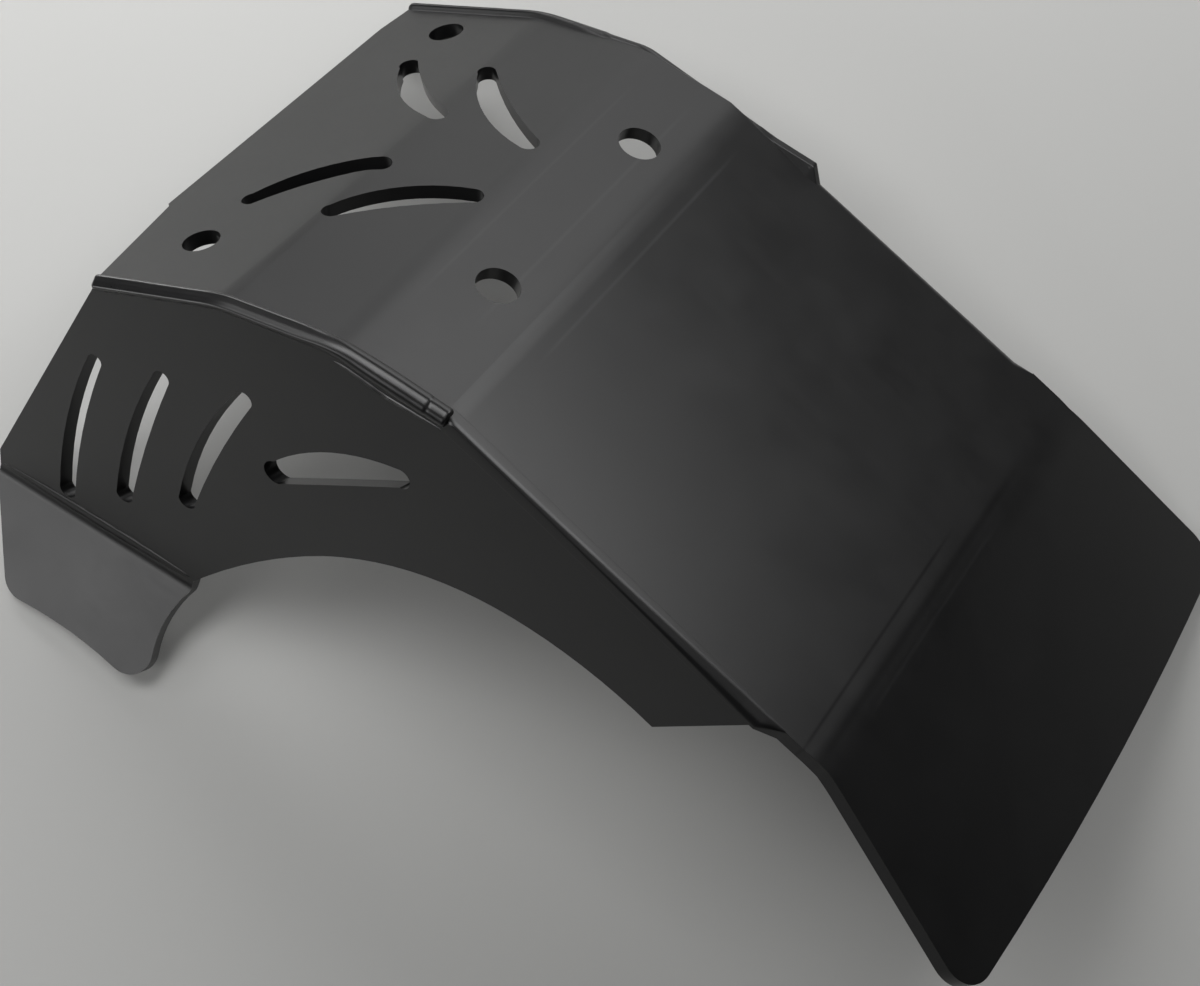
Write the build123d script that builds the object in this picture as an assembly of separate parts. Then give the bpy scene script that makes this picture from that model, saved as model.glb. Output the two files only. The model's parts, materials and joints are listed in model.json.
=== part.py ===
from build123d import *
import math
import os

# Skid plate folded from one plastic sheet, with its nose corners welded.
# It is drawn with the belly's outer face on z = 0 and the nose toward -X,
# then laid on the ground, outer face up, as it comes to rest. Lengths in mm, angles in degrees.

# Sheet and bends, from the nose end to the tail end
SHEET = 6.0
NOSE_LENGTH = 70.0
BROW_LENGTH = 50.1
CHIN_LENGTH = 46.0
BELLY_LENGTH = 182.9
TAIL_LENGTH = 100.5
NOSE_BEND = 13.9
BROW_BEND = 17.4
CHIN_BEND = 14.3
TAIL_BEND = 12.3
NOSE_BEND_R = 30.0
BROW_BEND_R = 33.0
CHIN_BEND_R = 46.0
TAIL_BEND_R = 80.0

# Width: the side walls run straight along the nose and toe out along the belly
HALF_WIDTH = 112.0
NEAR_TOE_OUT = 1.64
FAR_TOE_OUT = 0.8
FOLD_END = 152.8
FOLD_R = 5.0
CHIN_FOLD_R = 3.0
FOLD_RUNOUT = 9.0
FOLD_RUNOUT_R = 0.6
FREE_STEP = 1.2

# Nose end, with a shallow tab in the middle
CENTRE_SHIFT = 8.0
NOSE_CORNER_DROP = 5.5
NOSE_SKEW = 1.5
TAB_HALF_WIDTH = 62.0
TAB_HEIGHT = 4.0

# Tail end
TAIL_SHIFT = 0.8
TAIL_FLARE = 10.67
TAIL_CORNER_R = 14.0
TAIL_BOW = 5.0

# Bolt holes
NOSE_HOLE_D = 15.0
NOSE_HOLE_SPACING = 169.2
NOSE_HOLE_REACH = 36.3
CHIN_HOLE_D = 17.4
CHIN_HOLE_SPACING = 105.6
CHIN_HOLE_REACH = 26.6
HOLE_SHIFT = 7.0

# Tall near wall
WALL_FRONT = 129.3
FOOT_FRONT = (-126.0, -222.2)
FOOT_BACK = (-33.0, -189.5)
FRONT_BEVEL = 8.0
ARCH = ((-12.0, -134.0), (18.0, -90.0), (50.0, -65.0), (88.0, -50.5))
WALL_END_LOW = (130.5, -46.0)
WALL_END_HIGH = (151.5, -5.0)
SLOT_SLANT = 15.0

# Flared foot along the bottom of the near wall
FOOT_FLARE = 35.0
FOOT_FRONT_WIDTH = 43.6
FOOT_FRONT_LEAN = 25.0
FOOT_BACK_WIDTH = 52.3
FOOT_BACK_REACH = 7.5
FOOT_WAIST = 4.5
FOOT_NECK = 8.0
FOOT_CORNER_R = 11.0
FOOT_FOLD_R = 9.0

# Low far rim
RIM_DEPTH = 30.0

# Weld beads
BEAD_R = 2.6
BEAD_INSET = 1.0
BEAD_DEPTH = 1.2
BEAD_START = -1.0
BEAD_TURN_R = 20.0
NEAR_BEAD_END = -2.0
FAR_BEAD_SINK = 2.2
FAR_BEAD_END = 38.0
FAR_BEAD_DEPTH = -0.3

CUT = 30.0

# How finely the resting ground is sought
EDGE_SHARES = (0, 0.25, 0.5, 0.75, 1)
SETTLE_STEPS = 12


def walk(start, heading, steps):
    """Corner points of panels laid end to end, each turned down by its bend before it runs on."""
    points = [Vector(start)]
    turned = 0.0
    for length, bend in steps:
        turned += bend
        run = math.radians(turned)
        points.append(points[-1] + Vector(heading * math.cos(run), 0, -math.sin(run)) * length)
    return points


def panel_plane(start, toward_tail):
    """Plane on a panel's outer face: local x runs toward the tail and local y across to the far side."""
    along = toward_tail.normalized()
    return Plane(origin=start, x_dir=along, z_dir=along.cross(Vector(0, 1, 0)))


def mean_point(a, b, share):
    return a + (b - a) * share


def free_edge(side):
    """Sideways place of the belly's edge behind the fold, where the sheet is left flat."""
    return TAIL_SHIFT + side * (HALF_WIDTH + FREE_STEP)


def toe_out(side):
    return FAR_TOE_OUT if side > 0 else NEAR_TOE_OUT


def half_width(x, side):
    """Distance from the middle to the outer face of a side wall, near (-1) or far (+1)."""
    return HALF_WIDTH + max(x, 0) * math.tan(math.radians(toe_out(side)))


nose_steps = ((CHIN_LENGTH, CHIN_BEND), (BROW_LENGTH, BROW_BEND), (NOSE_LENGTH, NOSE_BEND))
tail_steps = ((TAIL_LENGTH, TAIL_BEND),)
chin_run = walk((0, 0, 0), -1, nose_steps)
tail_run = walk((BELLY_LENGTH, 0, 0), 1, tail_steps)
outer = chin_run[::-1] + tail_run
nose_end, nose_fold, brow_fold, chin_fold, tail_fold, tail_end = outer

nose = panel_plane(nose_fold, nose_fold - nose_end)
brow = panel_plane(nose_fold, brow_fold - nose_fold)
chin = panel_plane(brow_fold, chin_fold - brow_fold)
belly = panel_plane(chin_fold, tail_fold - chin_fold)
tail = panel_plane(tail_fold, tail_end - tail_fold)
panels = [nose, brow, chin, belly, tail]


def inner_corner(point, before, after):
    """The same corner on the inner face, along the half angle of the bend."""
    half_way = (before.z_dir + after.z_dir).normalized()
    return point - half_way * (SHEET / half_way.dot(before.z_dir))


neighbours = list(zip([nose] + panels, panels + [tail]))
inner = [inner_corner(point, before, after) for point, (before, after) in zip(outer, neighbours)]


def bent_sheet():
    """The sheet's bent section, drawn across and rounded at its bends."""
    section = make_face(Polyline(*outer, *reversed(inner), close=True))
    sheet = extrude(section, amount=2 * HALF_WIDTH, both=True)
    radii = (NOSE_BEND_R, BROW_BEND_R, CHIN_BEND_R, TAIL_BEND_R)
    for point, radius in zip(outer[1:-1], radii):
        sheet = fillet(sheet.edges().filter_by(Axis.Y).sort_by_distance(point)[0], radius + SHEET)
    for point, radius in zip(inner[1:-1], radii):
        sheet = fillet(sheet.edges().filter_by(Axis.Y).sort_by_distance(point)[0], radius)
    return sheet


def nose_outline():
    """Nose panel from its fold to its end, with sloped shoulders and a tab, cut a little out of square."""
    left, right = CENTRE_SHIFT - TAB_HALF_WIDTH, CENTRE_SHIFT + TAB_HALF_WIDTH
    shoulder, corner, tab = NOSE_LENGTH, NOSE_LENGTH - NOSE_CORNER_DROP, NOSE_LENGTH + TAB_HEIGHT
    reach = (
        (corner, -HALF_WIDTH), (shoulder, left - TAB_HEIGHT), (tab, left),
        (tab, right), (shoulder, right + TAB_HEIGHT), (corner, HALF_WIDTH))
    skew = math.tan(math.radians(NOSE_SKEW))
    end = [(-length - y * skew, y) for length, y in reach]
    return make_face(Polyline((0, -HALF_WIDTH), *end, (0, HALF_WIDTH), close=True))


def tail_outline():
    """Tail panel: flared sides, round corners and a bowed end."""
    corner = TAIL_LENGTH - TAIL_BOW
    flare = corner * math.tan(math.radians(TAIL_FLARE))
    near, far = free_edge(-1), free_edge(1)
    end = ThreePointArc((corner, near - flare), (TAIL_LENGTH, TAIL_SHIFT), (corner, far + flare))
    sides = Polyline((corner, far + flare), (0, far), (0, near), (corner, near - flare))
    face = make_face(sides + end)
    return fillet(face.vertices().sort_by(Axis.X)[-2:], TAIL_CORNER_R)


def sheet_outline():
    """Prism over the whole plan, square to each panel."""
    edges = []
    for side in (-1, 1):
        folded = side * half_width(FOLD_END, side)
        free = free_edge(side)
        edges.append((
            (nose_fold.X, side * HALF_WIDTH), (0, side * HALF_WIDTH), (FOLD_END, folded),
            (FOLD_END + FOLD_RUNOUT, free), (BELLY_LENGTH, free)))
    near, far = edges
    middle = extrude(make_face(Polyline(*far, *reversed(near), close=True)), amount=4 * CUT, both=True)
    nose_part = extrude(nose * nose_outline(), amount=CUT, both=True)
    tail_part = extrude(tail * tail_outline(), amount=CUT, both=True)
    return nose_part + middle + tail_part


def wall_plane(side, toe=0.0):
    """Outer face of a side wall, near (-1) or far (+1): local x toward the tail, local y up."""
    along = Vector(1, side * math.tan(math.radians(toe)), 0).normalized()
    return Plane(origin=(0, side * HALF_WIDTH, 0), x_dir=along, z_dir=along.cross(Vector(0, 0, 1)))


def wall(side, face):
    """Side wall cut from one outline: straight ahead of the chin's bend and toed out behind it."""
    inward = SHEET * side
    ahead = Box(*(4 * BELLY_LENGTH,) * 3, align=(Align.MAX, Align.CENTER, Align.CENTER))
    front = extrude(wall_plane(side) * face, amount=inward) & Pos(SHEET / 10, 0, 0) * ahead
    back = extrude(wall_plane(side, toe_out(side)) * face, amount=inward) - ahead
    return front + back


def wall_top():
    """Upper edge of a side wall, down the middle of the sheet from the wall's front to the fold's end."""
    middle = [mean_point(a, b, 0.5) for a, b in zip(outer[:4], inner[:4])]
    share = (WALL_FRONT + middle[1].X) / (middle[1].X - middle[0].X)
    front = mean_point(middle[1], middle[0], share)
    return [(p.X, p.Z) for p in (front, *middle[1:])] + [(FOLD_END, -SHEET / 2)]


near_plane = wall_plane(-1)


def near_wall():
    """Tall wall with an arched lower edge."""
    bevel = (-WALL_FRONT, FOOT_FRONT[1] + FRONT_BEVEL)
    upper = Polyline(FOOT_FRONT, bevel, *wall_top(), WALL_END_HIGH, WALL_END_LOW)
    arch = Spline(WALL_END_LOW, *reversed(ARCH), FOOT_BACK)
    face = make_face(upper + arch + Line(FOOT_BACK, FOOT_FRONT))
    return wall(-1, face)


def far_rim():
    """Low wall that follows the bends at one depth."""
    top = wall_top()
    low = [(x, z + SHEET / 2 - RIM_DEPTH) for x, z in top[:-1]]
    end = (WALL_END_LOW[0], -RIM_DEPTH)
    face = make_face(Polyline(*top, WALL_END_HIGH, end, *reversed(low), close=True))
    return wall(1, face)


def foot():
    """Flange bent out along the wall's lower edge: drawn flat, then turned about the fold's axis."""
    start = near_plane.from_local_coords(Vector(*FOOT_FRONT, 0))
    stop = near_plane.from_local_coords(Vector(*FOOT_BACK, 0))
    hinge = Axis(start + near_plane.z_dir * FOOT_FOLD_R, stop - start)
    length = (stop - start).length
    flat = Plane(origin=start, x_dir=stop - start, z_dir=near_plane.z_dir)
    low_front = Vector(FOOT_FRONT_LEAN, -FOOT_FRONT_WIDTH)
    low_back = Vector(length + FOOT_BACK_REACH, -FOOT_BACK_WIDTH)
    waist = mean_point(low_front, low_back, 0.5) + Vector(0, FOOT_WAIST)
    neck = mean_point(low_back, Vector(length, 0), 0.5) - Vector(FOOT_NECK, 0)
    front = Polyline((length, 0), (0, 0), low_front)
    edge = ThreePointArc(low_front, waist, low_back)
    back = ThreePointArc(low_back, neck, (length, 0))
    face = make_face(front + edge + back)
    face = fillet(face.vertices().sort_by(Axis.Y)[:2], FOOT_CORNER_R)
    flange = extrude(flat * face, amount=-SHEET).rotate(hinge, -FOOT_FLARE)
    seam = Plane(origin=start, x_dir=stop - start, z_dir=flat.y_dir)
    strip = seam * make_face(Polyline((0, 0), (length, 0), (length, SHEET), (0, SHEET), close=True))
    return flange + revolve(strip, axis=hinge, revolution_arc=-FOOT_FLARE)


def ribbon(edge_a, edge_b):
    """Curved slot between two arcs, each given by three points, with round ends."""
    first, last = ThreePointArc(*edge_a), ThreePointArc(*edge_b)
    caps = []
    for end, inward in ((0, 1), (1, -1)):
        a, b = first @ end, last @ end
        tip = (a + b) / 2 - ((first % end) + (last % end)).normalized() * inward * (b - a).length / 2
        caps.append(ThreePointArc(a, tip, b))
    return make_face(first + caps[1] + last + caps[0])


NOSE_SLOT = (((-38, -43), (-24, -22.5), (-1, -8)), ((-33.5, -50), (-15.5, -29.5), (4, -15.7)))
BROW_SLOT = (((0.5, -44), (13.6, -24.7), (42, -8.2)), ((5.5, -49.8), (20, -35.1), (45, -16.6)))
WALL_SLOTS = (
    (((-117.8, -119.7), (-112, -163.5), (-100, -204)), ((-111.3, -119.7), (-103.5, -164.5), (-93, -200.5))),
    (((-93, -98.4), (-89.4, -139), (-79.5, -178)), ((-85.8, -98.4), (-80.2, -138), (-73, -173))),
    (((-63.5, -72.5), (-65, -107), (-58, -150)), ((-55.8, -73.5), (-55.3, -104), (-51, -146))),
    (((-37, -88.7), (-21.5, -58.8), (0.9, -39.4)), ((-30.4, -97.4), (-11, -69.5), (4.6, -47.6))),
)


def openings():
    """Everything cut through the sheet: bolt holes, mirrored slots and the wall's slots."""
    cuts = []
    holes = (
        (nose, -NOSE_HOLE_REACH, NOSE_HOLE_SPACING, NOSE_HOLE_D),
        (chin, CHIN_HOLE_REACH, CHIN_HOLE_SPACING, CHIN_HOLE_D))
    for plane, reach, spacing, diameter in holes:
        for side in (-1, 1):
            spot = Pos(reach, HOLE_SHIFT + side * spacing / 2)
            cuts.append(plane * spot * Cylinder(diameter / 2, CUT))
    for plane, edges in ((nose, NOSE_SLOT), (brow, BROW_SLOT)):
        slot = ribbon(*edges)
        pair = slot + mirror(slot, about=Plane.XZ.offset(-CENTRE_SHIFT))
        cuts.append(extrude(plane * pair, amount=CUT / 2, both=True))
    lean = math.radians(SLOT_SLANT)
    slant = near_plane.x_dir * math.sin(lean) - near_plane.z_dir * math.cos(lean)
    for edges in WALL_SLOTS:
        slot = near_plane * ribbon(*edges)
        cuts.append(extrude(slot.moved(Location(slant * -SHEET)), amount=3 * SHEET, dir=slant))
    return cuts


def fold_section(corner, inward, up, radius):
    """What lies outside the round of a fold, drawn square to the fold at a point of its corner."""
    across = Plane(origin=corner, x_dir=inward, z_dir=inward.cross(up))
    middle = radius * (1 - math.sqrt(0.5))
    square = Polyline((0, -radius), (-SHEET, -radius), (-SHEET, SHEET), (radius, SHEET), (radius, 0))
    return across * make_face(square + ThreePointArc((radius, 0), (middle, -middle), (0, -radius)))


def chin_waste(side):
    """Sliver outside the round of the corner along the chin."""
    corner = Vector(chin.origin.X, side * HALF_WIDTH, chin.origin.Z)
    section = fold_section(corner, Vector(0, -side, 0), chin.z_dir, CHIN_FOLD_R)
    return extrude(section, amount=CHIN_LENGTH + SHEET, dir=chin.x_dir)


def belly_waste(side):
    """Sliver outside the round of the fold along the belly, fading to nothing where the fold runs out."""
    face = wall_plane(side, toe_out(side))
    inward = face.z_dir * side
    fold_end = Vector(FOLD_END, side * half_width(FOLD_END, side), 0)
    free = Vector(FOLD_END + FOLD_RUNOUT, free_edge(side), 0)
    last = fold_section(fold_end, inward, belly.z_dir, FOLD_R)
    fade = loft([last, fold_section(free, inward, belly.z_dir, FOLD_RUNOUT_R)], ruled=True)
    return extrude(last, amount=FOLD_END + SHEET, dir=-face.x_dir) + fade


def bead(side, sink, end, end_depth):
    """Weld rod laid along a nose corner and sunk into it, deeper at the brow's bend if sink says so."""
    line = [mean_point(a, b, BEAD_DEPTH / SHEET) for a, b in zip(outer[:4], inner[:4])]
    skew = side * HALF_WIDTH * math.tan(math.radians(NOSE_SKEW))
    start = NOSE_LENGTH - NOSE_CORNER_DROP + skew + BEAD_START
    line[0] = line[1] + (line[0] - line[1]).normalized() * start
    line[2] = mean_point(outer[2], inner[2], sink / SHEET)
    line[-1] = Vector(end, 0, -end_depth)
    spots = [Vector(p.X, side * (half_width(p.X, side) - BEAD_INSET), p.Z) for p in line]
    path = FilletPolyline(*spots, radius=BEAD_TURN_R)
    rod = sweep(Plane(origin=path @ 0, z_dir=path % 0) * Circle(BEAD_R), path=path)
    return rod, Pos(path @ 1) * Sphere(BEAD_R)


def resting_plane(part):
    """Ground under the part when it lies, outer face up, on its foot, far rim and tail corner."""
    spots = [edge @ share for edge in part.edges() for share in EDGE_SHARES]
    groups = (
        [p for p in spots if p.X < 0 and p.Y < 0],
        [p for p in spots if p.X < 0 and p.Y > 0],
        [p for p in spots if p.X > BELLY_LENGTH])
    up = Vector(0, 0, 1)
    for _ in range(SETTLE_STEPS):
        a, b, c = (min(group, key=up.dot) for group in groups)
        up = (c - a).cross(b - a).normalized()
    ground = Plane(origin=a, x_dir=Vector(1, 0, 0) - up * up.X, z_dir=up)
    box = ground.to_local_coords(part).bounding_box()
    under = ground.from_local_coords(Vector(box.center().X, box.center().Y, box.min.Z))
    return Plane(origin=under, x_dir=ground.x_dir, z_dir=up)


def build():
    """The whole plate, still with its belly level."""
    plate = (bent_sheet() & sheet_outline()) + near_wall() + foot()
    plate += far_rim()
    plate -= chin_waste(1)
    plate -= belly_waste(-1)
    plate -= belly_waste(1)
    near_rod, near_end = bead(-1, BEAD_DEPTH, NEAR_BEAD_END, BEAD_DEPTH)
    far_rod, _ = bead(1, FAR_BEAD_SINK, FAR_BEAD_END, FAR_BEAD_DEPTH)
    plate += near_rod + near_end
    plate += far_rod
    for cut in openings():
        plate -= cut
    return plate


if __name__ == "__main__":
    level = build()
    skid_plate = resting_plane(level).to_local_coords(level)
    os.makedirs("parts", exist_ok=True)
    export_step(skid_plate, "parts/skid_plate.step")
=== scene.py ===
"""Looks of a motorcycle skid plate, folded from black polyethylene and welded at the nose."""

import json
import math

import bpy
import numpy as np
from bpy.props import FloatProperty, FloatVectorProperty, PointerProperty
from bpy.types import Operator, Panel, PropertyGroup
from mathutils import Matrix, Vector


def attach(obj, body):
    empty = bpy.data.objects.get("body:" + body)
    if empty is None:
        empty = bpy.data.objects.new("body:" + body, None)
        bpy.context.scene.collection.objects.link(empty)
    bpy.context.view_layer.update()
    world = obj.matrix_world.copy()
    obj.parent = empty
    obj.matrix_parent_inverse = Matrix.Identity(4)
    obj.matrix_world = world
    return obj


bl_info = {
    "name": "Skid plate",
    "version": (1, 0, 0),
    "blender": (4, 5, 0),
    "location": "View3D > Sidebar > Skid plate",
    "description": "Dresses a folded and welded plastic skid plate and lights it on a pale floor",
    "category": "Object",
}

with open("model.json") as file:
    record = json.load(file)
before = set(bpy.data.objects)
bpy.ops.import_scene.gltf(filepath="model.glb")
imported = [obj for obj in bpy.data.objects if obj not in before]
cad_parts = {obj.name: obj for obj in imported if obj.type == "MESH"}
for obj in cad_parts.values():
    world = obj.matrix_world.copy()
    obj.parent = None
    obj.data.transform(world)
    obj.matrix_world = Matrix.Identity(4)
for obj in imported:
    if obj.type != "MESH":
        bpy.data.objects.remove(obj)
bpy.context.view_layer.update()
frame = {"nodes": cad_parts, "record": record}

MM = 0.001
NEAR, FAR = -1, 1

# Panels ahead of the belly: bends in degrees from the chin to the nose, and lengths in mm
BENDS = (14.3, 17.4, 13.9)
CHIN_LENGTH, BROW_LENGTH = 46.0, 50.1

# Middle of the chin's bolt pattern in mm: ahead of the chin fold, and toward the far side
CHIN_HOLE_FROM_FOLD = 19.4
HOLE_SHIFT = 7.0

# Belly: half its width in mm at the chin, and the degrees by which each side toes out behind it
HALF_WIDTH = 112.0
TOE_OUT = {NEAR: 1.64, FAR: 0.8}

# Round of the chin fold in mm: its radius, and where it ends on the belly
CHIN_BEND_R = 52.0
CHIN_BEND_END = 6.5

# Strip over the near fold, in mm behind the chin fold: where its size changes, the share of its
# growth there, and the places of its last rings, set close so that its end stays evenly shaded
FOLD_AT, FOLD_GROWTH = (0.3, 2, 5, 143), (1, 0.5, 0, 1)
FOLD_LAST = (143.4, 143.45, 143.5)

# Far fin, in mm behind the chin fold: heights of its top before the peak, the length of the cut
# behind the peak with how far that goes down and in, and the inset and flare of its outer edge
FIN_AT, FIN_TOPS = (8, 12, 18, 38.2), (-1.2, -0.5, -0.3)
FIN_PEAK = FIN_AT[-1]
FIN_CUT, FIN_CUT_DOWN, FIN_CUT_IN = 8.6, 4.6, 4.7
FIN_INSET, FIN_FLARE = 0.8, 3.9

# Fold between the near wall and its foot: its ends on the outer face and the ridge's rise, in mm,
# and the ridge's flatness
FOOT_FOLD = ((-126.0, -HALF_WIDTH, -222.2), (-33.0, -HALF_WIDTH, -189.5))
FOOT_RIDGE_RISE, FOOT_RIDGE_FLAT = 1.5, 0.26

# Middle of each bead in mm: its length along the nose, its end by the chin fold (along and up), and
# its depth under the outer face at the nose end, at both folds and at its end
BEAD_LINES = {
    NEAR: (61.2, (1.8, 0.45), (1.2, 1.2, 1.2, 0.8)),
    FAR: (67.0, (-33.0, -8.4), (1.2, 1.2, 2.2, 3.2))}
BEAD_INSET = 1.0

# Running mean that rounds the beads' turns: mm between points, and points to each side
LINE_SPACING, LINE_REACH = 0.5, 14

# Along the beads, in mm from the nose end: where the radius changes and what it gains there, where
# the ridges die out, and where the near bead is pressed flat and by what share
SWELL_AT = {NEAR: (0, 50, 75, 105, 130), FAR: (0, 50, 75, 115)}
SWELL_BY = {NEAR: (0, 0, 0.4, 0.5), FAR: (0, 0, 0.1, 0)}
RIDGES_FADE = {NEAR: (92, 122), FAR: (80, 105)}
FLAT_AT, FLAT_BY = (95, 130), 0.2

# Slow waves of the hand along a bead: share of its size, length in mm over 2 pi, and phase, and the
# same for how far its middle wanders, in mm
HAND_WAVES = ((0.006, 6.1, 1.0), (0.004, 2.3, 1.7), (0.01, 17.0, 0.0))
WANDER, WANDER_WAVE, WANDER_PHASE = 0.12, 21.0, 2

# Ends of the beads in mm: the stub's shoulder with the share lost there, the neck's place, width
# and loss, the round and share left at the tip and at the cut nose end, and the length of the far
# bead's taper
STUB_SHOULDER, STUB_LOSS = (8.0, 9.0), 0.05
NECK_AT, NECK_WIDTH, NECK_LOSS = 8.1, 0.7, 0.02
TIP_ROUND, TIP_SHARE = 1.0, 0.84
CUT_ROUND, CUT_SHARE = 1.2, 0.8
FAR_TAPER = 32.0

# Lip beside the near bead: its start in mm from the nose end, how far out it lies, its flatness, and
# its drop in mm below the bead's middle at shares of its length
LIP_FROM, LIP_OUT, LIP_FLAT = 110, 1.05, 0.4
LIP_SHARES, LIP_DROPS = (0, 0.15, 0.5, 0.8, 1), (5.9, 6.1, 7.1, 6.2, 5.6)

# Lines left across the outer face by marking out and bending, in mm: place along the plate, both
# ends and width, and then depth
LIGHT_MARKS = (
    (-37.4, -80, 95, 1.0, 0.5), (-14.5, -75, 100, 1.2, 0.6),
    (11.5, -71, 95, 1.2, 0.9), (184.0, -85, 40, 1.4, 0.3))
DARK_MARKS = ((170.5, -125, 20, 1.2, 0.7), (178.0, -125, 75, 2.8, 0.5))
LIGHT_MARK_COLOUR = "#232324"

# Sizes of the sheet's patterns in mm: handling marks, rolling streaks with their stretch, and satin
# grain, drawn coarser than the real one so that it shows
CLOUD_SIZE = 40
STREAK_SIZE, STREAK_STRETCH = 1.2, 60
GRAIN_SIZE = 0.5

# Floor in metres: half its width, and its place just under the plate
FLOOR_REACH, FLOOR_LEVEL = 4, -0.3 * MM

# Lights in metres: place, the point each one faces, and width and height
MIDDLE = (0.0, 0.02, 0.09)
NOSE = (-0.16, -0.09, 0.11)
LIGHTS = {
    "key": ((-0.42, 1.08, 0.71), MIDDLE, (0.75, 0.6)),
    "card": ((-0.72, 1.06, 0.22), MIDDLE, (0.92, 0.43)),
    "glint": ((0.1, 0.98, 0.87), (0.0, -0.02, 0.18), (0.34, 0.6)),
    "top": ((-0.42, 0.04, 1.05), (-0.42, 0.65, 0), (0.3, 0.85)),
    "strip": ((0.3, -0.1, 1.1), (0.3, -0.1, 0), (0.2, 1.2)),
    "fill": ((-0.51, -1.06, 0.72), (-0.14, -0.16, 0.02), (0.5, 0.5)),
    "side": ((-1.09, 0.12, 0.15), NOSE, (0.3, 0.2)),
    "brow": ((-0.92, 0.36, 0.44), NOSE, (0.35, 0.35)),
    "low": ((-0.6, 0.28, 0.42), (-0.6, 0.28, 0), (0.3, 0.3)),
    "rim": ((-0.85, -0.26, 0.81), NOSE, (0.2, 0.3)),
    "kick": ((-0.745, -0.75, 0.3), NOSE, (0.45, 0.3))}

# Camera worked out from the photograph, on the plate's own axes, with lengths in mm
CAMERA_EYE = (19.7, -622.5, 639.6)
CAMERA_RIGHT = (0.7347, 0.4987, 0.4599)
CAMERA_UP = (-0.6768, 0.5851, 0.4467)
CAMERA_LENS = 70.875
CAMERA_SENSOR = 36


def linear(code):
    """Linear colour of an sRGB hex code."""
    channels = np.array([int(code[i:i + 2], 16) for i in (1, 3, 5)]) / 255
    low, high = channels / 12.92, ((channels + 0.055) / 1.055) ** 2.4
    return tuple(float(c) for c in np.where(channels <= 0.04045, low, high))


def plate_axes():
    """Matrix from the plate's own axes to the row frame.

    The plate's own axes have its belly level and the middle of its chin fold at the origin. The
    nose and chin normals come from the bolt patterns. Across is nose x chin, up is the chin's
    normal turned back by the chin's bend about across, and along is across x up.
    """
    mounts = {mount["name"]: mount for mount in frame["record"]["mounts"]}
    nose = Vector(mounts["nose_bolts"]["axis"]).normalized()
    chin = Vector(mounts["chin_bolts"]["axis"]).normalized()
    across = nose.cross(chin).normalized()
    bend = math.radians(BENDS[0])
    up = chin * math.cos(bend) + across.cross(chin) * math.sin(bend)
    along = across.cross(up)
    back = along * math.cos(bend) + up * math.sin(bend)
    to_fold = (back * CHIN_HOLE_FROM_FOLD - across * HOLE_SHIFT) * MM
    fold = Vector(mounts["chin_bolts"]["pos_m"]) + to_fold
    return Matrix.Translation(fold) @ Matrix((along, across, up)).transposed().to_4x4()


PLATE = plate_axes()


def to_row(points):
    """Points in mm on the plate's own axes as metres in the row frame."""
    m = np.array(PLATE)
    return points * MM @ m[:3, :3].T + m[:3, 3]


def add(tree, kind, inputs=(), **settings):
    """Add a node: a socket among its inputs is linked, and any other value is set."""
    node = tree.nodes.new(kind)
    for name, value in settings.items():
        setattr(node, name, value)
    for name, value in dict(inputs).items():
        if isinstance(value, bpy.types.NodeSocket):
            tree.links.new(value, node.inputs[name])
        else:
            node.inputs[name].default_value = value
    return node


def new_material(name):
    """Empty node material with its output and shader."""
    material = bpy.data.materials.new(name)
    material.use_nodes = True
    tree = material.node_tree
    tree.nodes.clear()
    shader = add(tree, "ShaderNodeBsdfPrincipled")
    add(tree, "ShaderNodeOutputMaterial", {"Surface": shader.outputs["BSDF"]})
    return material, tree, shader


def plate_millimetres(tree):
    """Object coordinates turned to the plate's own axes, in mm."""
    back = PLATE.inverted()
    place = add(tree, "ShaderNodeTexCoord").outputs["Object"]
    settings = {
        "Vector": place, "Location": back.translation / MM,
        "Rotation": back.to_euler("XYZ"), "Scale": (1 / MM,) * 3}
    return add(tree, "ShaderNodeMapping", settings).outputs["Vector"]


def mesh_object(name, vertices, quads, triangles):
    """Object from whole arrays of vertices and faces, shaded smooth."""
    mesh = bpy.data.meshes.new(name)
    mesh.from_pydata(vertices.tolist(), [], quads.tolist() + triangles.tolist())
    mesh.validate()
    mesh.polygons.foreach_set("use_smooth", np.ones(len(mesh.polygons), bool))
    thing = bpy.data.objects.new(name, mesh)
    bpy.context.scene.collection.objects.link(thing)
    return thing


def closed_tube(name, rings):
    """Closed skin over rings of points, shape (rings, points, 3).

    Quads join neighbouring rings, and a fan closes each end.
    """
    count, around = rings.shape[:2]
    index = np.arange(count * around).reshape(count, around)
    turned = np.roll(index, -1, axis=1)
    quads = np.stack([index[:-1], turned[:-1], turned[1:], index[1:]], -1).reshape(-1, 4)
    poles = np.array([rings[0].mean(0), rings[-1].mean(0)])
    first, last = count * around, count * around + 1
    caps = np.concatenate([
        np.stack([np.full(around, first), turned[0], index[0]], -1),
        np.stack([np.full(around, last), index[-1], turned[-1]], -1)])
    return mesh_object(name, np.concatenate([rings.reshape(-1, 3), poles]), quads, caps)


def smooth_step(low, high, x):
    """0 below low, 1 above high and a cubic ease between."""
    t = np.clip((x - low) / (high - low), 0, 1)
    return t * t * (3 - 2 * t)


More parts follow.
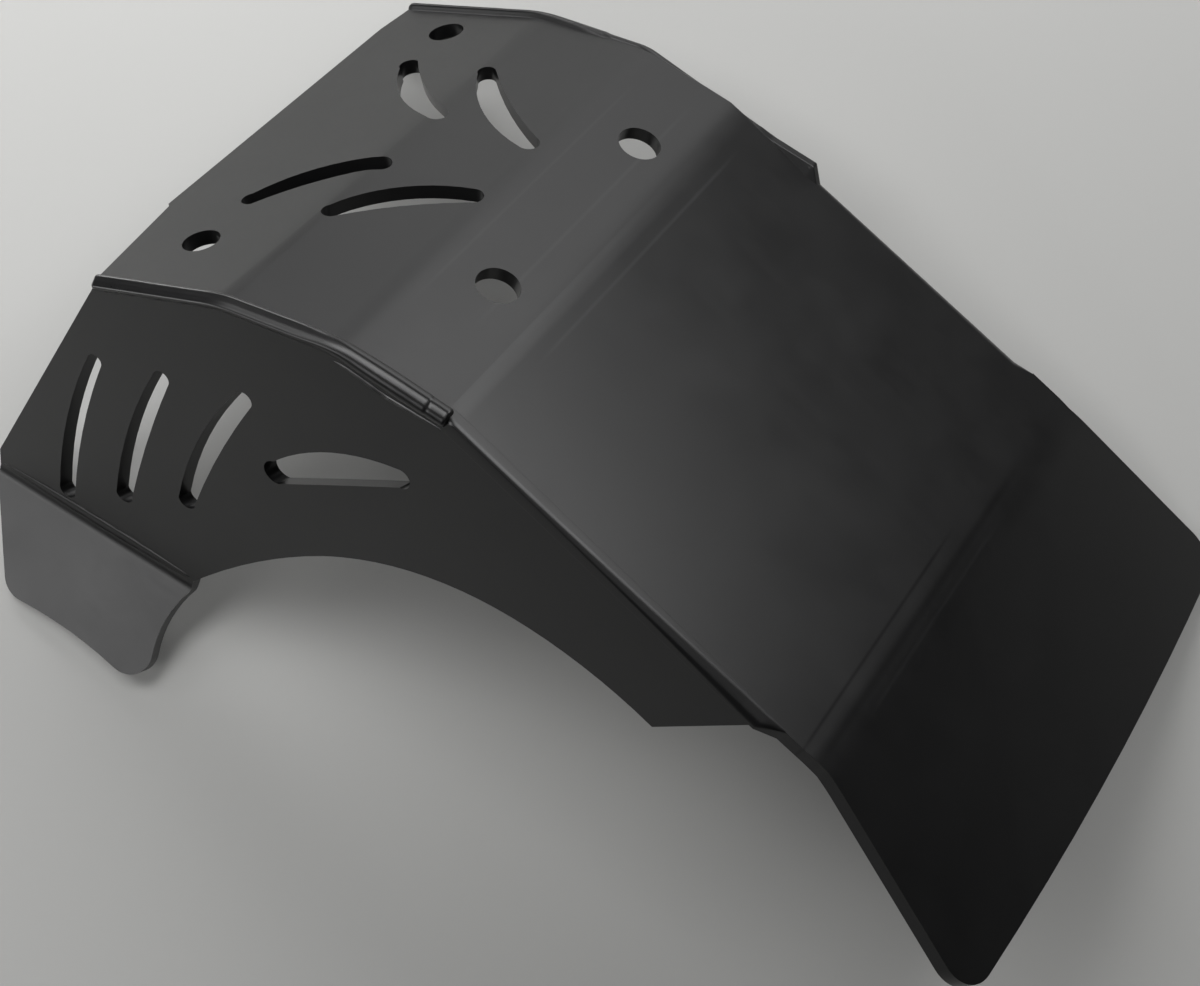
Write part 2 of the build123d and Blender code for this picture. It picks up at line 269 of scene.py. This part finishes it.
def corner_line(side):
    """Middle of a bead along a nose corner in mm, from the nose to its end, and its length so far.

    The fold points are walked from the chin to the nose, each panel turned down by its bend. The
    line runs straight between them, is sampled evenly by length, and a running mean over 14.5 mm
    rounds its turns. It is then sunk along its normal by the bead's depths, which run straight
    between its points.
    """
    start, chin_end, depths = BEAD_LINES[side]
    lengths = np.array([CHIN_LENGTH, BROW_LENGTH, start])
    turned = np.radians(np.cumsum(BENDS))
    steps = np.stack([-np.cos(turned), -np.sin(turned)], -1) * lengths[:, None]
    folds = np.concatenate([np.cumsum(steps, 0)[::-1], [chin_end]])
    run = np.concatenate([[0], np.cumsum(np.hypot(*np.diff(folds, axis=0).T))])
    beyond = LINE_REACH * LINE_SPACING
    s = np.arange(-beyond, run[-1] + beyond, LINE_SPACING)
    slope = np.diff(folds, axis=0) / np.diff(run)[:, None]
    panel = np.clip(np.searchsorted(run, s, side="right") - 1, 0, len(run) - 2)
    line = folds[panel] + slope[panel] * (s - run[panel])[:, None]
    window = np.ones(2 * LINE_REACH + 1) / (2 * LINE_REACH + 1)
    x, z = (np.convolve(line[:, i], window, "valid") for i in (0, 1))
    s = s[LINE_REACH:-LINE_REACH]
    depth = np.interp(s, run, depths)
    tilt = np.arctan2(np.gradient(z), np.gradient(x))
    x, z = x + depth * np.sin(tilt), z - depth * np.cos(tilt)
    toe = np.maximum(x, 0) * math.tan(math.radians(TOE_OUT[side]))
    return np.stack([x, side * (HALF_WIDTH - BEAD_INSET + toe), z], -1), s


def tube_axes(line, side):
    """Unit vectors across a line: out of the plate's side, and square to it and to the line."""
    along = np.gradient(line, axis=0)
    along /= np.linalg.norm(along, axis=1)[:, None]
    out = np.broadcast_to(np.array([0.0, side, 0.0]), line.shape)
    return out, np.cross(along, out) * side


def rings_round(line, side, angle, size):
    """Rings of points round a line, at distances size (rings, points) and angles from its normal."""
    out, normal = tube_axes(line, side)
    up, beside = np.cos(angle)[None, :, None], np.sin(angle)[None, :, None]
    rings = line[:, None] + size[..., None] * (up * normal[:, None] + beside * out[:, None])
    return rings[:, ::-1] if side > 0 else rings


def oval(angle, lean, flat):
    """Distance out to an ellipse of half axis 1 that is pressed to flat along lean.

    Both angles are measured from the panel's normal.
    """
    return 1 / np.hypot(np.sin(angle - lean), np.cos(angle - lean) / flat)


def weld_rings(line, s, side, radius, ridge, flat, shrink, tuck):
    """Rings of a weld bead round a line, in mm.

    Round the bead's middle, the outline at angle a from the panel's normal is
    r e(a) + h (g(a - c1) + g(a - c2)).
    e is an ellipse pressed flat at 45 degrees, and g(x) = exp(-(x / w)^2) makes two ridges, h high
    and w wide, left by rods laid side by side. r, h and the flatness change along the bead, slow
    waves of the hand run over it, and shrink closes its end, while tuck draws the end into the
    corner.
    """
    angle = np.linspace(0, 2 * np.pi, 72, endpoint=False)
    centres, width = np.radians([-14.0, 80.0]), math.radians(22.0)
    apart = np.angle(np.exp(1j * (angle[None, :] - centres[:, None])))
    ridges = np.exp(-(apart / width) ** 2).sum(0)
    hand = 1 + sum(share * np.sin(s / wave + phase * side) for share, wave, phase in HAND_WAVES)
    body = radius[:, None] * oval(angle[None, :], math.radians(45), flat[:, None])
    size = (body + ridge[:, None] * ridges) * (hand * shrink)[:, None]
    out, normal = tube_axes(line, side)
    wander = WANDER * np.sin(s / WANDER_WAVE + WANDER_PHASE * side)[:, None]
    drawn_in = (tuck * (1 - shrink) * radius)[:, None]
    return rings_round(line + out * (wander - drawn_in) - normal * drawn_in, side, angle, size)


def cut_share(s):
    """Share of a bead's size at its cut nose end: it rises to 1 as a square root of the length."""
    return CUT_SHARE + (1 - CUT_SHARE) * np.sqrt(np.clip(s / CUT_ROUND, 0, 1))


def stub_share(left):
    """Share of the near bead's size by the length left to its end.

    The stub is thinner behind its shoulder, a bell-shaped neck marks it off, and its tip is rounded
    as a quarter circle.
    """
    thin = STUB_LOSS * (1 - smooth_step(*STUB_SHOULDER, left))
    neck = NECK_LOSS * np.exp(-((left - NECK_AT) / NECK_WIDTH) ** 2)
    tip = np.sqrt(1 - (1 - np.minimum(left / TIP_ROUND, 1)) ** 2)
    return (1 - thin - neck) * (TIP_SHARE + (1 - TIP_SHARE) * tip)


def fine_rings(line, side, radius, flat, lean):
    """Rings of a fine lip along a line: an ellipse pressed flat along lean, from the normal.

    Its size dies out at both ends as the square root of a sine, with small waves between.
    """
    angle = np.linspace(0, 2 * np.pi, 24, endpoint=False)
    t = np.linspace(0, 1, len(line))
    waves = 1 + 0.08 * np.sin(t * 31.0) * np.sin(t * 13.0 + side)
    grow = radius * waves * np.sqrt(np.sin(np.pi * np.clip(t, 0.004, 0.996)))
    return rings_round(line, side, angle, grow[:, None] * oval(angle, lean, flat))


def fold_rings(x, reach, drop):
    """Rings of a strip over the near fold, in mm: flat on belly and wall, a quarter ellipse between.

    At each place x along the fold, in is measured from the wall's outer face and down from the
    belly's. The quarter ellipse is in = reach (1 - sin t), down = drop (1 - cos t), and the strip's
    back lies inside the sheet. The strip stands a hair above the sheet and sinks with the chin's
    bend by (e - x)^2 / 2r ahead of its end e.
    """
    cover, brim, back, hair = 6.0, 0.08, 3.2, 0.03
    t = np.linspace(0, np.pi / 2, 28)
    flat = np.broadcast_to([cover, cover - brim], (len(x), 2))
    face = np.zeros((len(x), 2))
    inner = np.full((len(x), 1), back)
    inward = np.concatenate([flat, reach[:, None] * (1 - np.sin(t)), face, inner], 1) - hair
    down = np.concatenate([face, drop[:, None] * (1 - np.cos(t)), flat[:, ::-1], inner], 1) - hair
    sink = np.maximum(CHIN_BEND_END - x, 0) ** 2 / (2 * CHIN_BEND_R)
    wall = HALF_WIDTH + x * math.tan(math.radians(TOE_OUT[NEAR]))
    along = np.broadcast_to(x[:, None], inward.shape)
    return np.stack([along, inward - wall[:, None], -down - sink[:, None]], -1)


def fin_rings(x, edge, top):
    """Rings of the fin along the belly's far edge, in mm, from its outer edge and its top's height.

    Across the plate its top is level, the inner side slopes down into the sheet at an even pitch,
    and the outer corner turns down in a quarter circle. Its bottom lies inside the sheet.
    """
    width, level, turn, bottom, sunk = 10.0, 4.1, 1.6, -4.0, -3.8
    pitch = math.radians(36)
    u, t = np.linspace(0, width - turn, 36), np.linspace(0, np.pi / 2, 9)[1:]
    edge, top = edge[:, None], top[:, None]
    inner = edge - width
    low = np.full((len(x), 1), bottom)
    slope = np.maximum(width - level - u, 0) * math.tan(pitch)
    corner = top - turn * (1 - np.cos(t))
    y = np.concatenate([inner, inner + u, edge - turn * (1 - np.sin(t)), edge], 1)
    z = np.concatenate([low, np.maximum(top - slope, sunk), corner, low], 1)
    return np.stack([np.broadcast_to(x[:, None], y.shape), y, z], -1)[:, ::-1]


class SheetLook(PropertyGroup):
    """Look of the sheet."""
    colour: FloatVectorProperty(
        name="Colour", description="Body colour of the sheet",
        subtype="COLOR", default=linear("#0a0a0b"))
    roughness: FloatProperty(
        name="Roughness", description="Roughness of the rolled face",
        subtype="FACTOR", min=0, max=1, default=0.3)
    edge_round: FloatProperty(
        name="Edge round", description="Radius left on the cut edges",
        unit="LENGTH", default=0.45 * MM)


class FoldLook(PropertyGroup):
    """Sizes of what folding and cutting left along the edges."""
    fold_reach: FloatProperty(
        name="Fold reach", description="Width of the near fold's round on the belly",
        unit="LENGTH", default=2.6 * MM)
    front_drop: FloatProperty(
        name="Front drop", description="Height of the near fold's round at the chin",
        unit="LENGTH", default=0.8 * MM)
    back_drop: FloatProperty(
        name="Back drop", description="Height of the near fold's round at its end",
        unit="LENGTH", default=4.95 * MM)
    fin_rise: FloatProperty(
        name="Fin rise", description="Height of the far fin's end over the belly",
        unit="LENGTH", default=3.05 * MM)
    foot_ridge: FloatProperty(
        name="Foot ridge", description="Half width of the ridge along the foot's fold",
        unit="LENGTH", default=2.8 * MM)


class WeldLook(PropertyGroup):
    """Size and finish of the weld beads."""
    nose_radius: FloatProperty(
        name="Nose radius", description="Radius of the bead along the nose",
        unit="LENGTH", default=2.85 * MM)
    chin_radius: FloatProperty(
        name="Chin radius", description="Radius of the bead along the chin",
        unit="LENGTH", default=3.9 * MM)
    ridge: FloatProperty(
        name="Ridge", description="Height of the two ridges along the nose",
        unit="LENGTH", default=0.8 * MM)
    lip_radius: FloatProperty(
        name="Lip radius", description="Half width of the lip squeezed out beside a bead",
        unit="LENGTH", default=1.0 * MM)
    roughness: FloatProperty(
        name="Roughness", description="Roughness of the melted rod",
        subtype="FACTOR", min=0, max=1, default=0.26)


class StageLook(PropertyGroup):
    """Floor and light."""
    floor_colour: FloatVectorProperty(
        name="Floor", description="Colour of the floor",
        subtype="COLOR", default=linear("#c6c6c4"))
    world_level: FloatProperty(
        name="World", description="Strength of the grey surroundings", min=0, default=0.035)
    key_level: FloatProperty(
        name="Key", description="Power of the light behind the plate",
        unit="POWER", default=3.1)
    card_level: FloatProperty(
        name="Card", description="Power of the low light behind the nose",
        unit="POWER", default=1.4)
    glint_level: FloatProperty(
        name="Glint", description="Power of the light behind the near fold",
        unit="POWER", default=3.6)
    top_level: FloatProperty(
        name="Top", description="Power of the long light overhead",
        unit="POWER", default=5.0)
    strip_level: FloatProperty(
        name="Strip", description="Power of the dim strip beside the top light",
        unit="POWER", default=0.6)
    fill_level: FloatProperty(
        name="Fill", description="Power of the light in front of the foot",
        unit="POWER", default=2.4)
    side_level: FloatProperty(
        name="Side", description="Power of the low light beyond the nose",
        unit="POWER", default=1.7)
    brow_level: FloatProperty(
        name="Brow", description="Power of the small light behind the side light",
        unit="POWER", default=1.5)
    low_level: FloatProperty(
        name="Low", description="Power of the light over the floor that the nose mirrors",
        unit="POWER", default=0.8)
    rim_level: FloatProperty(
        name="Rim", description="Power of the small high light beyond the nose",
        unit="POWER", default=0.8)
    kick_level: FloatProperty(
        name="Kick", description="Power of the low light in front of the nose",
        unit="POWER", default=1.7)


def mark_mask(tree, place, marks):
    """Greatest depth of the thin lines across the plate at each place.

    A line has its depth along its middle and eases to 0 at its width to both sides and over the
    last third toward its ends.
    """
    total = 0.0
    for x, low, high, width, depth in marks:
        reach = (high - low) / 2
        middle = (x, low + reach, 0)
        away = add(tree, "ShaderNodeVectorMath", {0: place, 1: middle}, operation="SUBTRACT")
        away = add(tree, "ShaderNodeVectorMath", {0: away.outputs["Vector"]}, operation="ABSOLUTE")
        axes = add(tree, "ShaderNodeSeparateXYZ", {0: away.outputs["Vector"]}).outputs
        across = add(tree, "ShaderNodeMapRange", {
            "Value": axes["X"], "From Min": 0, "From Max": width, "To Min": depth, "To Max": 0},
            interpolation_type="SMOOTHSTEP")
        along = add(tree, "ShaderNodeMapRange", {
            "Value": axes["Y"], "From Min": reach * 2 / 3, "From Max": reach,
            "To Min": 1, "To Max": 0}, interpolation_type="SMOOTHSTEP")
        mark = {0: across.outputs["Result"], 1: along.outputs["Result"]}
        mark = add(tree, "ShaderNodeMath", mark, operation="MULTIPLY").outputs["Value"]
        total = add(tree, "ShaderNodeMath", {0: total, 1: mark}, operation="MAXIMUM")
        total = total.outputs["Value"]
    return total


def polyethylene(name, colour, roughness, marked):
    """Black high-density polyethylene, rolled as sheet or melted from a rod.

    It is deep black, with a broad satin sheen that shows rolling streaks, fine scuffs and, where
    marked, the faint lines left by marking out and bending.
    """
    material, tree, shader = new_material(name)
    place = plate_millimetres(tree)
    shader.inputs["Base Color"].default_value = (*colour, 1)
    shader.inputs["IOR"].default_value = 1.54
    cloud = add(tree, "ShaderNodeTexNoise", {
        "Vector": place, "Scale": 1 / CLOUD_SIZE, "Detail": 5.0, "Roughness": 0.6})
    stretched = add(tree, "ShaderNodeMapping", {
        "Vector": place, "Scale": (1 / STREAK_STRETCH, 1, 1)}).outputs["Vector"]
    streak = add(tree, "ShaderNodeTexNoise", {
        "Vector": stretched, "Scale": 1 / STREAK_SIZE, "Detail": 3.0})
    grain = add(tree, "ShaderNodeTexNoise", {
        "Vector": place, "Scale": 1 / GRAIN_SIZE, "Detail": 2.0})
    # scuffs by handling and streaks make the sheen uneven
    rough = add(tree, "ShaderNodeMapRange", {
        "Value": cloud.outputs["Fac"], "From Min": 0.3, "From Max": 0.7,
        "To Min": roughness - 0.02, "To Max": roughness + 0.035})
    rough = add(tree, "ShaderNodeMath", {
        0: streak.outputs["Fac"], 1: 0.05, 2: rough.outputs["Result"]}, operation="MULTIPLY_ADD")
    tree.links.new(rough.outputs["Value"], shader.inputs["Roughness"])
    # streaks and grain stand a few thousandths of a mm high
    height = add(tree, "ShaderNodeMath", {
        0: streak.outputs["Fac"], 1: 0.5, 2: grain.outputs["Fac"]}, operation="MULTIPLY_ADD")
    bump = add(tree, "ShaderNodeBump", {
        "Height": height.outputs["Value"], "Distance": 0.004 * MM, "Strength": 1.0})
    tree.links.new(bump.outputs["Normal"], shader.inputs["Normal"])
    if marked:
        # light lines are scratched grey, and dark lines have lost some of their shine
        light, dark = (mark_mask(tree, place, marks) for marks in (LIGHT_MARKS, DARK_MARKS))
        body = {"Factor": light, "A": (*colour, 1), "B": (*linear(LIGHT_MARK_COLOUR), 1)}
        body = add(tree, "ShaderNodeMix", body, data_type="RGBA")
        tree.links.new(body.outputs["Result"], shader.inputs["Base Color"])
        shine = add(tree, "ShaderNodeMath", {0: dark, 1: -0.3, 2: 0.5}, operation="MULTIPLY_ADD")
        tree.links.new(shine.outputs["Value"], shader.inputs["Specular IOR Level"])
    return material


class SKID_OT_dress_sheet(Operator):
    """Round the sheet's cut edges and give it its finish"""
    bl_idname = "skid.dress_sheet"
    bl_label = "Dress the sheet"

    def execute(self, context):
        look = context.scene.skid_sheet
        sheet = frame["nodes"]["skid_plate"]
        material = polyethylene("Black HDPE, rolled sheet", look.colour, look.roughness, True)
        sheet.data.materials.clear()
        sheet.data.materials.append(material)
        weld = sheet.modifiers.new("join facets", "WELD")
        weld.merge_threshold = 0.01 * MM
        bevel = sheet.modifiers.new("cut edges", "BEVEL")
        bevel.width = look.edge_round
        bevel.segments = 2
        bevel.limit_method = "ANGLE"
        bevel.angle_limit = math.radians(40)
        even = sheet.modifiers.new("flat faces", "WEIGHTED_NORMAL")
        even.mode = "FACE_AREA"
        even.weight = 100
        return {"FINISHED"}


def add_pieces(pieces, material):
    """Skin each piece's rings and let it ride on the plate."""
    for name, rings in pieces.items():
        piece = closed_tube(name, to_row(rings))
        piece.data.materials.append(material)
        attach(piece, "root")


class SKID_OT_draw_folds(Operator):
    """Sharpen the near fold, raise the far fin and draw the ridge along the foot's fold"""
    bl_idname = "skid.draw_folds"
    bl_label = "Draw the folds"

    def execute(self, context):
        look = context.scene.skid_fold
        reach, front, back = (v / MM for v in (look.fold_reach, look.front_drop, look.back_drop))
        rise, ridge = look.fin_rise / MM, look.foot_ridge / MM

        x = np.concatenate([
            np.linspace(FOLD_AT[0], 6, 20), np.linspace(7, FOLD_AT[-1], 90), FOLD_LAST])
        share = np.interp(x, FOLD_AT, FOLD_GROWTH) ** 2
        near_fold = fold_rings(x, reach + (back - reach) * share, front + (back - front) * share)

        x = np.linspace(FIN_AT[0], FIN_PEAK + FIN_CUT, 70)
        grow, cut = np.clip(x / FIN_PEAK, 0, 1), np.clip((x - FIN_PEAK) / FIN_CUT, 0, 1)
        edge = HALF_WIDTH - FIN_INSET + FIN_FLARE * grow - FIN_CUT_IN * cut
        top = np.interp(x, FIN_AT, (*FIN_TOPS, rise)) - FIN_CUT_DOWN * cut
        far_fin = fin_rings(x, edge, top)

        share = np.linspace(0.02, 0.98, 60)[:, None]
        fold = np.array(FOOT_FOLD[0]) * (1 - share) + np.array(FOOT_FOLD[1]) * share
        _, normal = tube_axes(fold, NEAR)
        crest = fold + normal * FOOT_RIDGE_RISE
        foot_ridge = fine_rings(crest, NEAR, ridge, FOOT_RIDGE_FLAT, math.radians(90))

        sheet = frame["nodes"]["skid_plate"].data.materials[0]
        add_pieces({"near_fold": near_fold, "far_fin": far_fin, "foot_ridge": foot_ridge}, sheet)
        return {"FINISHED"}


class SKID_OT_lay_welds(Operator):
    """Lay the weld beads along both nose corners and the lip squeezed out beside the near one"""
    bl_idname = "skid.lay_welds"
    bl_label = "Lay the welds"

    def execute(self, context):
        look = context.scene.skid_weld
        nose, chin, ridge, lip = (
            v / MM for v in (look.nose_radius, look.chin_radius, look.ridge, look.lip_radius))

        line, s = corner_line(NEAR)
        swell = (*(nose + gain for gain in SWELL_BY[NEAR]), chin)
        radius = np.interp(s, SWELL_AT[NEAR], swell)
        flat = 1 - FLAT_BY * smooth_step(*FLAT_AT, s)
        ridges = ridge * (1 - smooth_step(*RIDGES_FADE[NEAR], s))
        shrink = stub_share(s[-1] - s) * cut_share(s)
        near_weld = weld_rings(line, s, NEAR, radius, ridges, flat, shrink, 0.0)

        beside = line[s > LIP_FROM]
        drop = np.interp(np.linspace(0, 1, len(beside)), LIP_SHARES, LIP_DROPS)[:, None]
        out, normal = tube_axes(beside, NEAR)
        squeezed = beside + out * LIP_OUT - normal * drop
        near_lip = fine_rings(squeezed, NEAR, lip, LIP_FLAT, math.radians(45))

        line, s = corner_line(FAR)
        radius = np.interp(s, SWELL_AT[FAR], [nose + gain for gain in SWELL_BY[FAR]])
        ridges = ridge * (1 - smooth_step(*RIDGES_FADE[FAR], s))
        shrink = np.clip((s[-1] - s) / FAR_TAPER, 0.03, 1) ** 0.6 * cut_share(s)
        far_weld = weld_rings(line, s, FAR, radius, ridges, np.ones_like(s), shrink, 1.0)

        colour = context.scene.skid_sheet.colour
        rod = polyethylene("Black HDPE, hand welded", colour, look.roughness, False)
        add_pieces({"near_weld": near_weld, "near_lip": near_lip, "far_weld": far_weld}, rod)
        return {"FINISHED"}


def softbox(name, place, aim, size, power):
    """Rectangular light of the given width and height, turned from its place toward a point."""
    lamp = bpy.data.lights.new(name, "AREA")
    lamp.shape = "RECTANGLE"
    lamp.size, lamp.size_y = size
    lamp.energy = power
    thing = bpy.data.objects.new(name, lamp)
    thing.location = place
    thing.rotation_euler = (Vector(aim) - Vector(place)).to_track_quat("-Z", "Y").to_euler()
    bpy.context.scene.collection.objects.link(thing)


def paper_floor(colour):
    """Level square of paper on a grid of three by three points, in metres.

    Paper scatters light evenly and hardly shines, so it is pale with soft shadows.
    """
    edge = np.linspace(-FLOOR_REACH, FLOOR_REACH, 3)
    x, y = np.meshgrid(edge, edge, indexing="ij")
    spots = np.stack([x.ravel(), y.ravel(), np.full(x.size, FLOOR_LEVEL)], -1)
    corner = (np.arange(2)[:, None] * 3 + np.arange(2)).ravel()
    quads = corner[:, None] + np.array([0, 3, 4, 1])
    floor = mesh_object("floor", spots, quads, np.empty((0, 3), int))
    material, _, shader = new_material("Matt paper, rolled out")
    shader.inputs["Base Color"].default_value = (*colour, 1)
    shader.inputs["Roughness"].default_value = 0.9
    shader.inputs["Specular IOR Level"].default_value = 0.2
    floor.data.materials.append(material)
    return floor


class SKID_OT_set_stage(Operator):
    """Lay the pale floor and set the lights and the camera"""
    bl_idname = "skid.set_stage"
    bl_label = "Set the stage"

    def execute(self, context):
        look = context.scene.skid_stage
        scene = context.scene
        floor = paper_floor(look.floor_colour)
        for name, (place, aim, size) in LIGHTS.items():
            softbox(name, place, aim, size, getattr(look, name + "_level"))
        world = bpy.data.worlds.new("Grey studio")
        world.use_nodes = True
        background = world.node_tree.nodes["Background"]
        background.inputs["Color"].default_value = (1, 1, 1, 1)
        background.inputs["Strength"].default_value = look.world_level
        scene.world = world
        lens = bpy.data.cameras.new("photo camera")
        lens.sensor_fit = "HORIZONTAL"
        lens.sensor_width = CAMERA_SENSOR
        lens.lens = CAMERA_LENS
        lens.clip_start = 0.01
        camera = bpy.data.objects.new("photo camera", lens)
        right, up = Vector(CAMERA_RIGHT).normalized(), Vector(CAMERA_UP).normalized()
        turn = Matrix((right, up, right.cross(up).normalized())).transposed().to_4x4()
        camera.matrix_world = PLATE @ Matrix.Translation(Vector(CAMERA_EYE) * MM) @ turn
        scene.collection.objects.link(camera)
        scene.camera = camera
        scene.view_settings.view_transform = "Standard"
        return {"FINISHED"}


class SKID_PT_panel(Panel):
    """Sizes, colours and steps of the skid plate"""
    bl_label = "Skid plate"
    bl_space_type = "VIEW_3D"
    bl_region_type = "UI"
    bl_category = "Skid plate"

    def draw(self, context):
        for step, group in STEPS:
            box = self.layout.box()
            look = getattr(context.scene, group)
            for name in look.__annotations__:
                box.prop(look, name)
            box.operator(step.bl_idname)


STEPS = (
    (SKID_OT_dress_sheet, "skid_sheet"), (SKID_OT_draw_folds, "skid_fold"),
    (SKID_OT_lay_welds, "skid_weld"), (SKID_OT_set_stage, "skid_stage"))
GROUPS = {
    "skid_sheet": SheetLook, "skid_fold": FoldLook,
    "skid_weld": WeldLook, "skid_stage": StageLook}
CLASSES = (*GROUPS.values(), *(step for step, _ in STEPS), SKID_PT_panel)


def register():
    for kind in CLASSES:
        bpy.utils.register_class(kind)
    for name, group in GROUPS.items():
        setattr(bpy.types.Scene, name, PointerProperty(type=group))


def unregister():
    for name in GROUPS:
        delattr(bpy.types.Scene, name)
    for kind in reversed(CLASSES):
        bpy.utils.unregister_class(kind)


def main():
    """Build the scene: dress the sheet, draw the folds, lay the welds and set the stage."""
    register()
    bpy.ops.skid.dress_sheet()
    bpy.ops.skid.draw_folds()
    bpy.ops.skid.lay_welds()
    bpy.ops.skid.set_stage()


if __name__ == "__main__":
    main()
